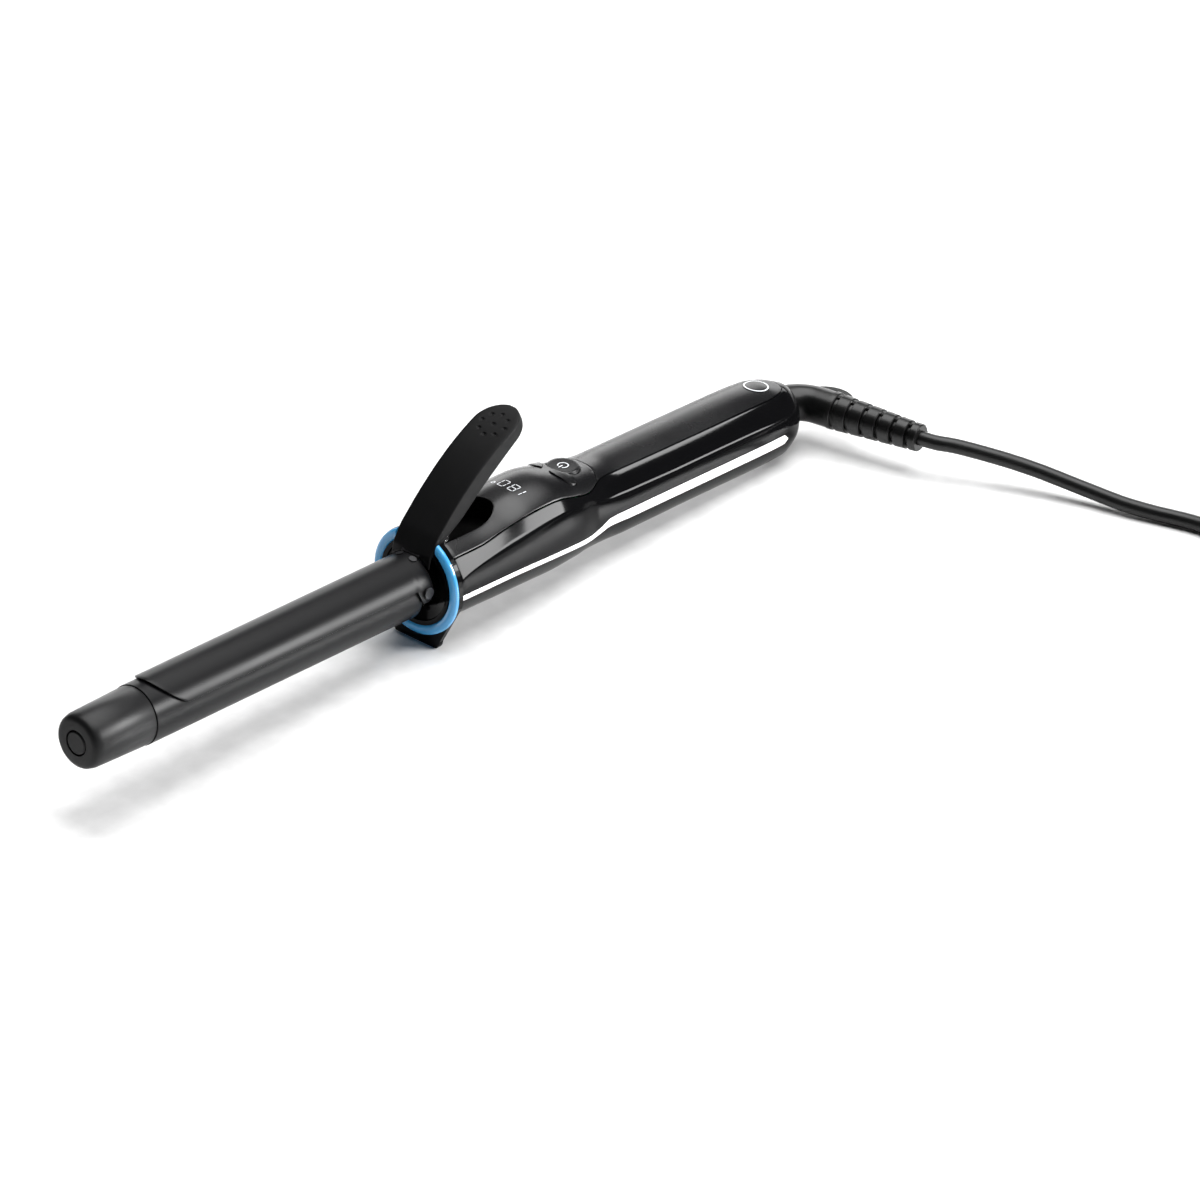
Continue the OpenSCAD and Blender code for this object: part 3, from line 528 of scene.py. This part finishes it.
def outward(obj):
    """Whether the faces of an open skin around the handle look outwards."""
    total = 0
    for polygon in obj.data.polygons:
        axis_point = place((0, 0, 1)) + (place((1, 0, 1)) - place((0, 0, 1))) * 80
        total += (polygon.normal.z * (polygon.center.z - axis_point.z)
                  + polygon.normal.y * polygon.center.y)
    return total > 0


def arc_outline(radius, far):
    """Everything ahead of the rounded joint between the control panel and the rear cover."""
    centre = 57.3
    arc = [(centre + radius * math.cos(math.radians(a)), radius * math.sin(math.radians(a)))
           for a in range(-90, 91, 4)]
    return arc + [(centre, 20), (far, 20), (far, -20), (centre, -20)]


def slot_outline(grow=0):
    """Plan of the slot that the lever dips into."""
    half, straight, end = 8.4 + grow, 17.5, 30 + grow
    tip = [(straight + (end - straight) * math.cos(math.radians(a)),
            (half - 0.2) * math.sin(math.radians(a))) for a in range(-90, 91, 6)]
    return [(-9, half), (-9, -half)] + tip


POWER_X, POWER_R, POWER_TOP = 63.6, 5.1, 15.9
LEAF = [(-8.0, 1.6), (-8.3, 3.2), (-8.1, 5.0), (-7.3, 7.1), (-5.6, 9.2), (-3.6, 8.9), (-3.5, 7.5),
        (-4.1, 5.7), (-5.1, 4.1), (-6.4, 2.7), (-7.4, 1.8)]
LEAF_CENTRE = (-5.9, 6)
BUTTON_GAP = 0.3


def rounded(outline):
    """Cuts the corners of a closed outline, which keeps nearly the same size."""
    smoother = []
    for a, b in zip(outline, outline[1:] + outline[:1]):
        smoother += [(a[0] * 0.8 + b[0] * 0.2, a[1] * 0.8 + b[1] * 0.2),
                     (a[0] * 0.2 + b[0] * 0.8, a[1] * 0.2 + b[1] * 0.8)]
    return smoother


def leaf_outline(side, grow):
    """Outline of one side crescent, grown by a margin."""
    points = []
    for x, y in LEAF:
        away = Vector((x - LEAF_CENTRE[0], y - LEAF_CENTRE[1])).normalized() * grow
        points.append((POWER_X + x + away.x, side * (y + away.y)))
    return rounded(points)


def circle_outline(x, radius, count=96):
    """Points round a circle whose centre is on the middle line at x."""
    return [(x + radius * math.cos(2 * math.pi * k / count), radius * math.sin(2 * math.pi * k / count))
            for k in range(count)]


def cover_skin(name, mats, node):
    """Glossy cover that follows the top of the handle between the seams."""
    xs = spaced(SHELL_FRONT, 150, 1.6) + spaced(150.5, COVER_END - 0.15, 0.5)
    points = []
    columns = 49
    for x in xs:
        seam = seam_angle(x, 0.28)
        points += [skin(x, seam + (180 - 2 * seam) * k / (columns - 1)) for k in range(columns)]
    cover = add_piece(name, points, grid_faces(len(xs), columns), "iron", mats["panel_black"],
                      "panel_black", [node])
    return apply(cover, "SOLIDIFY", thickness=1.5 * MM, offset=-1 if outward(cover) else 1)


def make_covers(mats):
    """Control panel and rear cover."""
    panel = cover_skin("panel_cover", mats, "control_panel")
    cut(panel, *prism(arc_outline(14.88, -20), 0, 40), keep_inside=True)
    cut(panel, *prism(slot_outline(), 2, 40))
    cut(panel, *prism(circle_outline(POWER_X, POWER_R + BUTTON_GAP), 5, 30))
    for side in (-1, 1):
        cut(panel, *prism(leaf_outline(side, BUTTON_GAP), 5, 30))
    rear = cover_skin("rear_top_cover", mats, "rear_cover")
    cut(rear, *prism(arc_outline(15.12, -20), 0, 40))
    for piece in (panel, rear):
        ease_edges(piece, 0.15)


def make_trims(mats):
    """Bright white strips along both sides, at the seam; their material adds a painted glow."""
    for side, node in ((-1, "trim_left"), (1, "trim_right")):
        points = []
        xs = spaced(2.3, 151.4, 1.2)
        columns = 7
        for x in xs:
            end = max(0, 1 - ((x - 149.6) / 1.8) ** 2) ** 0.5 if x > 149.6 else 1
            upper, lower = at(TRIM, 1, x), at(TRIM, 2, x)
            mid, half = (upper + lower) / 2, (upper - lower) / 2 * max(end, 0.15)
            for k in range(columns):
                t = 2 * k / (columns - 1) - 1
                p = skin(x, angle_of_height(x, mid + half * t), -0.1 - 0.3 * (1 - t**4))
                points.append((p.x, side * p.y, p.z))
        trim = add_piece("side_" + node, points, grid_faces(len(xs), columns), "iron",
                         mats["trim_white"], "trim_white", [node])
        apply(trim, "SOLIDIFY", thickness=0.06 * MM, offset=0)


# ---------------------------------------------------------------- buttons and display

def over_skin(name, outline, body, mat, slot_name, stands_for=(), lift=0.0, depth=1.6, rings=7):
    """A cap that follows the handle's surface inside an outline, with a rounded rim and a skirt."""
    cx = sum(p[0] for p in outline) / len(outline)
    cy = sum(p[1] for p in outline) / len(outline)
    n = len(outline)
    points = [(x, y, skin_height(x, y) - depth) for x, y in outline]
    points += [(x, y, skin_height(x, y) + lift - 0.12) for x, y in outline]
    for ring in range(rings):
        scale = 0.97 * (1 - ring / rings)
        for x, y in outline:
            px, py = cx + (x - cx) * scale, cy + (y - cy) * scale
            points.append((px, py, skin_height(px, py) + lift))
    points.append((cx, cy, skin_height(cx, cy) + lift))
    faces = grid_faces(rings + 2, n, closed=True)
    last = (rings + 1) * n
    faces += [[last + i, last + (i + 1) % n, len(points) - 1] for i in range(n)]
    faces.append(list(range(n))[::-1])
    return add_piece(name, points, faces, body, mat, slot_name, stands_for)


def stroke(name, lines, width, body, mat, height, lift=0.03):
    """Thin printed lines that lie on a surface; height(x, y) gives its height."""
    points, faces = [], []
    for line in lines:
        for (x0, y0), (x1, y1) in zip(line, line[1:]):
            along = Vector((x1 - x0, y1 - y0)).normalized() * width / 2
            across = Vector((-along.y, along.x))
            first = len(points)
            for x, y in ((x0, y0), (x1, y1)):
                grown = -1 if (x, y) == (x0, y0) else 1
                for sign in (-1, 1):
                    px = x + grown * along.x * 0.6 + sign * across.x
                    py = y + grown * along.y * 0.6 + sign * across.y
                    points.append((px, py, height(px, py) + lift))
            faces.append([first, first + 1, first + 3, first + 2])
    piece = add_piece(name, points, faces, body, mat, "led_white")
    return apply(piece, "SOLIDIFY", thickness=0.02 * MM, offset=0)


MARK_R, MARK_STROKE, LEAF_LIFT = 1.6, 0.34, 0.4


def make_buttons(mats):
    """Round power button with its mark, and a crescent on each side of it."""
    steps = 96
    profile = [(POWER_R, POWER_TOP - 2.6), (POWER_R, POWER_TOP - 0.25), (POWER_R - 0.08, POWER_TOP - 0.1),
               (POWER_R - 0.25, POWER_TOP), (POWER_R - 0.9, POWER_TOP), (3.0, POWER_TOP - 0.03),
               (1.2, POWER_TOP - 0.04)]
    points = [(POWER_X + r * math.cos(2 * math.pi * k / steps), r * math.sin(2 * math.pi * k / steps), z)
              for r, z in profile for k in range(steps)]
    faces = grid_faces(len(profile), steps, closed=True)
    faces += end_faces(len(profile), steps)[::-1]
    add_piece("power_button", points, faces, "power_key", mats["panel_black"], "panel_black",
              ["button_power"])
    arc = [(POWER_X + MARK_R * math.cos(math.radians(a)), MARK_R * math.sin(math.radians(a)))
           for a in range(-145, 146, 10)]
    bar = [(POWER_X - MARK_R - 0.3, 0), (POWER_X - 0.4, 0)]
    # The power mark's material gives it a painted glow.
    stroke("power_symbol", [arc, bar], MARK_STROKE, "power_key", mats["legend_lit_and_painted_glow"],
           lambda x, y: POWER_TOP)
    for side, name, node, key in ((1, "plus_button", "button_plus", "plus_key"),
                                  (-1, "minus_button", "button_minus", "minus_key")):
        over_skin(name, leaf_outline(side, 0), key, mats["panel_black"], "panel_black", [node],
                  lift=LEAF_LIFT)


BADGE_X, BADGE_R = 151.5, 4.2


# ---------------------------------------------------------------- badge, well and cord relief

def make_badge(mats):
    """A plain round inlay with a thin rim near the handle's end."""
    over_skin("plain_badge", circle_outline(BADGE_X, BADGE_R), "iron", mats["panel_black"],
              "badge_silver", ["end_badge"], lift=0.16, depth=1.0)
    outer = circle_outline(BADGE_X, BADGE_R - 0.45, 49)
    # The rim's material gives it a painted glow.
    stroke("badge_rim", [outer + outer[:1]], 0.4, "iron", mats["legend_lit_and_painted_glow"], skin_height, lift=0.19)


def make_well(mats):
    """Glossy well below the lever, up to the panel's underside; it is open to the front."""
    floor_z, top_drop, front_x, half = 9.2, 1.3, 7.2, 8.3
    outline = [(front_x, -half)] + slot_outline(-0.08)[2:] + [(front_x, half)]
    steps = 8
    points = []
    for k in range(steps + 1):
        t = k / steps
        for x, y in outline:
            high = skin_height(x, y) - top_drop
            points.append((x, y, floor_z + (high - floor_z) * t))
    n = len(outline)
    faces = grid_faces(steps + 1, n)
    faces.append(list(range(n)))
    well = add_piece("lever_well_liner", points, faces, "iron", mats["neck_black"], "neck_black",
                     ["lever_well"])
    apply(well, "SOLIDIFY", thickness=0.3 * MM, offset=0)


ELBOW_X, ELBOW_BEND, ELBOW_TURN, ELBOW_STRAIGHT, STEM_Z = 161, 10.6, math.radians(80), 5.4, 1
RELIEF_LENGTH, RELIEF_ROOT, RELIEF_TIP = 31.5, 6.0, 4.4
RIBS, RIB = 6, 5.2


def make_relief(mats):
    """Tapered strain relief: ring grooves that deepen to its end, bridged by ribs above and below."""
    along = Vector((math.cos(ELBOW_TURN), -math.sin(ELBOW_TURN), 0))
    across, above = Vector((math.sin(ELBOW_TURN), math.cos(ELBOW_TURN), 0)), Vector((0, 0, 1))
    start = Vector((ELBOW_X + ELBOW_BEND * math.sin(ELBOW_TURN),
                    ELBOW_BEND * math.cos(ELBOW_TURN) - ELBOW_BEND, STEM_Z)) + along * ELBOW_STRAIGHT
    profile = [(0, 0)]
    for k in range(RIBS):
        front, deep = 1.6 + k * RIB, 0.8 + 0.14 * k
        profile += [(front - 0.25, 0), (front, 0.2), (front + 0.05, deep), (front + 1.25, deep),
                    (front + 1.3, 0.2), (front + 1.55, 0)]
    profile += [(RELIEF_LENGTH - 0.35, 0), (RELIEF_LENGTH - 0.03, 0.3)]
    around = 64
    points = []
    for distance, depth in profile:
        radius = RELIEF_ROOT + (RELIEF_TIP - RELIEF_ROOT) * distance / RELIEF_LENGTH - 0.02
        for k in range(around):
            a = 2 * math.pi * k / around
            bridge = 0.3 if abs(math.sin(a)) > 0.98 and depth > 0.3 else 1
            points.append(start + along * distance
                          + (radius - depth * bridge) * (math.cos(a) * across + math.sin(a) * above))
    faces = grid_faces(len(profile), around, closed=True)
    faces += end_faces(len(profile), around)
    add_piece("cord_relief", points, faces, "cord_swivel", mats["elbow_black"], "elbow_black",
              ["strain_relief"])


# Bars of a seven-segment digit: from and to, as shares of the digit's width and height
BARS = {"a": ((0, 1), (1, 1)), "b": ((1, 1), (1, 0.5)), "c": ((1, 0.5), (1, 0)), "d": ((0, 0), (1, 0)),
        "e": ((0, 0.5), (0, 0)), "f": ((0, 1), (0, 0.5)), "g": ((0, 0.5), (1, 0.5))}
DIGITS = ((-6.9, "bc"), (-2.3, "abcdefg"), (1.8, "abcdef"))
DIGIT_H, DIGIT_W, DIGIT_BASE, SLANT = 3.5, 2.3, 41.2, 0.12
DEGREE_Y, DEGREE_R = 5.3, 0.6


def make_display(mats):
    """Reading of the temperature; the digits' tops point to the barrel."""
    def on_panel(centre, u, v):
        return (DIGIT_BASE - v * DIGIT_H, centre + (u - 0.5) * DIGIT_W + SLANT * DIGIT_H * v)

    lines = []
    for centre, bars in DIGITS:
        for bar in bars:
            (u0, v0), (u1, v1) = BARS[bar]
            a, b = Vector(on_panel(centre, u0, v0)), Vector(on_panel(centre, u1, v1))
            gap = (b - a).normalized() * 0.28
            lines.append([tuple(a + gap), tuple(b - gap)])
    degree_x = DIGIT_BASE - DIGIT_H + DEGREE_R
    ring = [(degree_x + DEGREE_R * math.cos(math.radians(a)), DEGREE_Y + DEGREE_R * math.sin(math.radians(a)))
            for a in range(0, 361, 30)]
    stroke("display_reading", lines + [ring], 0.22, "iron", mats["legend_lit_and_painted_glow"], skin_height, lift=0.04)


# ---------------------------------------------------------------- barrel, clip and lever

TIP = -143.4
CAP_JOINT = TIP + 24
BARREL_R = 9.5


def make_barrel(mats):
    """The coated tube and the cool tip ahead of it."""
    tube = [(CAP_JOINT + 0.1, 8.6), (CAP_JOINT + 0.1, 9.38), (CAP_JOINT + 0.22, BARREL_R),
            (-7.6, BARREL_R), (-7.5, 9.4), (-7.5, 8.6)]
    add_piece("heated_barrel", *lathe(tube), "iron", mats["barrel_black"], "barrel_black",
              ["barrel_tube"])
    r = BARREL_R - 0.2
    front = [(TIP, 4.1), (TIP, r - 2.8), (TIP + 0.08, r - 2.3), (TIP + 0.3, r - 1.8),
             (TIP + 0.65, r - 1.35), (TIP + 1.2, r - 0.98), (TIP + 2.2, r - 0.7),
             (TIP + 3.2, r - 0.5), (TIP + 8, r - 0.38)]
    rear = [(CAP_JOINT - 0.3, r), (CAP_JOINT, r - 0.15), (CAP_JOINT, 8.4), (TIP + 5.5, r - 1.6),
            (TIP + 5.5, 1.6), (TIP + 3.4, 1.6), (TIP + 3.4, 4.0), (TIP + 0.15, 4.0)]
    add_piece("cool_tip", *lathe(front + rear), "iron", mats["tip_black"], "tip_black", ["tip_cap"])


CLIP_OUT, CLIP_FRONT, CLIP_REAR, NOSE_R = 10.4, 115.5, -3.5, 9.8
EAR_X, EAR_HALF = -6.5, 2.1


def make_clip(mats):
    """The half-round clip, with its rounded nose and the two ears at its hinge."""
    points = []
    columns, rows = 57, 90
    for k in range(rows):
        t = k / (rows - 1)
        for c in range(columns):
            u = 2 * c / (columns - 1) - 1
            y = CLIP_OUT * math.sin(math.radians(70 * u))
            nose = NOSE_R - math.sqrt(max(NOSE_R**2 - min(abs(y), NOSE_R - 0.02) ** 2, 0))
            front = -CLIP_FRONT + nose
            x = front + (CLIP_REAR - front) * (1 - (1 - t) ** 1.15)
            ear = 26 * max(0, 1 - ((x - EAR_X) / (EAR_HALF + 0.9)) ** 4)
            angle = math.radians((70 + ear) * u)
            points.append((x, CLIP_OUT * math.sin(angle), CLIP_OUT * math.cos(angle)))
    clip = add_piece("clip_shell", points, grid_faces(rows, columns), "clip", mats["clip_black"],
                     "clip_black", ["clip_plate"])
    apply(clip, "SOLIDIFY", thickness=0.6 * MM, offset=-1 if outward(clip) else 1)
    ease_edges(clip, 0.12)


LEVER_HALF, LEVER_TIP, PADDLE_X = 7.65, 40.2, 32.6


def lever_top(x):
    """Height of the lever's upper face at x."""
    return 16.46 + 1.14 * x - 0.011 * x * x


# The lever's side view, from the clip to the finger pad: upper and lower point of each section
LEVER_SECTIONS = [
    ((-3.2, 11.0), (-3.0, 10.5)), ((-2.4, 12.2), (-1.4, 11.4)), ((-1.2, 14.4), (0.6, 12.5)),
    ((0.2, 16.7), (2.8, 14.1)), ((2.5, lever_top(2.5)), (5.2, 16.1)),
    ((8, lever_top(8)), (11.1, 20.0)), ((15, lever_top(15)), (18.2, 26.0)),
    ((22, lever_top(22)), (25, 31.2)), ((29, lever_top(29)), (32, 36.3)),
    ((35, lever_top(35)), (37.4, 40.1)), ((38.4, lever_top(38.4)), (39.5, 42.3)),
    ((40.0, lever_top(40) - 0.15), (40.1, 43.2)),
]
DIMPLE_X, DIMPLE_R = 31.3, 0.95


LEVER_EDGE, SADDLE_R = 0.45, 10.95


def lever_outline(half, thick):
    """Rounded rectangle as (across, height) pairs, with points along its top and bottom."""
    r = min(LEVER_EDGE, thick * 0.4, half * 0.4)
    loop = []
    for corner, (cy, cz) in enumerate([(1, 1), (-1, 1), (-1, -1), (1, -1)]):
        for k in range(6):
            a = math.radians(90 * corner + 18 * k)
            loop.append((cy * (half - r) + r * math.cos(a), cz * (thick / 2 - r) + r * math.sin(a)))
        if corner in (0, 2):
            loop += [((half - r) * cy * (1 - k / 6), cz * thick / 2) for k in range(1, 12)]
    return loop


def make_lever(mats):
    """Thumb lever with crisp edges and nine finger dimples."""
    tops = rounded_path([Vector((x, 0, z)) for (x, z), _ in LEVER_SECTIONS], 9)
    unders = rounded_path([Vector((x, 0, z)) for _, (x, z) in LEVER_SECTIONS], 9)
    points = []
    for top, under in zip(tops, unders):
        centre, up = (top + under) / 2, (top - under).normalized()
        end = min(1, max(0, (centre.x - PADDLE_X) / (LEVER_TIP - PADDLE_X)))
        half = LEVER_HALF * math.sqrt(max(1 - end**2, 0.01))
        saddle = smooth_step((-2.3 - centre.x) / 0.8)
        loop = lever_outline(half, (top - under).length)
        around = len(loop)
        for y, h in loop:
            sag = saddle * (SADDLE_R - math.sqrt(SADDLE_R**2 - y * y))
            points.append(centre + up * h + Vector((0, y, -sag)))
    faces = grid_faces(len(tops), around, closed=True)
    faces += end_faces(len(tops), around)
    lever = add_piece("thumb_lever", points, faces, "clip", mats["lever_black"], "lever_black",
                      ["clip_lever"], sharp=50)
    for k in range(9):
        a = math.radians(45 * k)
        x = DIMPLE_X + (0 if k == 8 else 4 * math.cos(a))
        y = 0 if k == 8 else 4.4 * math.sin(a)
        cut(lever, *ball((x, y, lever_top(x) + 0.62), DIMPLE_R))
    smooth(lever, 50)


def ball(centre, radius, rows=10, columns=20):
    """Points of a sphere, ring by ring."""
    points = [(centre[0], centre[1], centre[2] - radius)]
    for r in range(1, rows):
        b = math.pi * r / rows - math.pi / 2
        points += [(centre[0] + radius * math.cos(b) * math.cos(2 * math.pi * c / columns),
                    centre[1] + radius * math.cos(b) * math.sin(2 * math.pi * c / columns),
                    centre[2] + radius * math.sin(b)) for c in range(columns)]
    points.append((centre[0], centre[1], centre[2] + radius))
    faces = [[0, 1 + (c + 1) % columns, 1 + c] for c in range(columns)]
    faces += [[1 + f for f in face] for face in grid_faces(rows - 1, columns, closed=True)]
    last = 1 + (rows - 2) * columns
    faces += [[last + c, last + (c + 1) % columns, len(points) - 1] for c in range(columns)]
    return points, faces


# ---------------------------------------------------------------- floor and light

def make_floor():
    """Pale table top just under z = 0."""
    size, z = 6, -0.0002
    mesh = bpy.data.meshes.new("floor")
    corners = [(-size, -size, z), (size, -size, z), (size, size, z), (-size, size, z)]
    mesh.from_pydata(corners, [], [[0, 1, 2, 3]])
    floor = bpy.data.objects.new("floor", mesh)
    bpy.context.collection.objects.link(floor)
    mat = material("floor_pale", (0.86, 0.86, 0.86), 0.2, grain=60, bump=0.01, spread=0.03)
    mesh.materials.append(mat)


def add_area(name, location, target, size, power):
    """One area light, aimed at a target."""
    data = bpy.data.lights.new(name, "AREA")
    data.shape = "RECTANGLE"
    data.size, data.size_y = size
    data.energy = power
    light = bpy.data.objects.new(name, data)
    bpy.context.collection.objects.link(light)
    light.location = location
    light.rotation_euler = (Vector(target) - Vector(location)).to_track_quat("-Z", "Y").to_euler()


def make_light():
    """Bright near the horizon and dark above, with a big softbox over the table, a strip beside it and a
    card behind it that brightens the far edges."""
    world = bpy.data.worlds.new("studio")
    bpy.context.scene.world = world
    world.use_nodes = True
    nodes, links = world.node_tree.nodes, world.node_tree.links
    where = nodes.new("ShaderNodeTexCoord")
    split = nodes.new("ShaderNodeSeparateXYZ")
    fall = nodes.new("ShaderNodeMapRange")
    fall.inputs["From Min"].default_value = 0.02
    fall.inputs["From Max"].default_value = 0.42
    fall.inputs["To Min"].default_value = 1.0
    fall.inputs["To Max"].default_value = 0.06
    links.new(where.outputs["Generated"], split.inputs["Vector"])
    links.new(split.outputs["Z"], fall.inputs["Value"])
    links.new(fall.outputs["Result"], nodes["Background"].inputs["Strength"])
    add_area("softbox_over", (0.45, 0.0, 1.6), (0.1, 0, 0), (1.9, 1.5), 52)
    add_area("strip_beside", (0.97, -1.22, 0.54), (0.02, 0, 0.03), (0.8, 0.45), 40)
    add_area("card_behind", (1.25, 1.2, 0.4), (0.02, 0, 0.03), (1.8, 0.55), 9)
    bpy.context.scene.view_settings.view_transform = "Standard"


# ---------------------------------------------------------------- the scene

make_camera()
mats = make_materials()
paint_cad_nodes(mats)
make_cord(mats["cord_rubber"])
make_lower_shell(mats)
make_covers(mats)
make_trims(mats)
make_buttons(mats)
make_display(mats)
make_badge(mats)
make_well(mats)
make_relief(mats)
make_barrel(mats)
make_clip(mats)
make_lever(mats)
make_floor()
make_light()

bpy.context.view_layer.update()
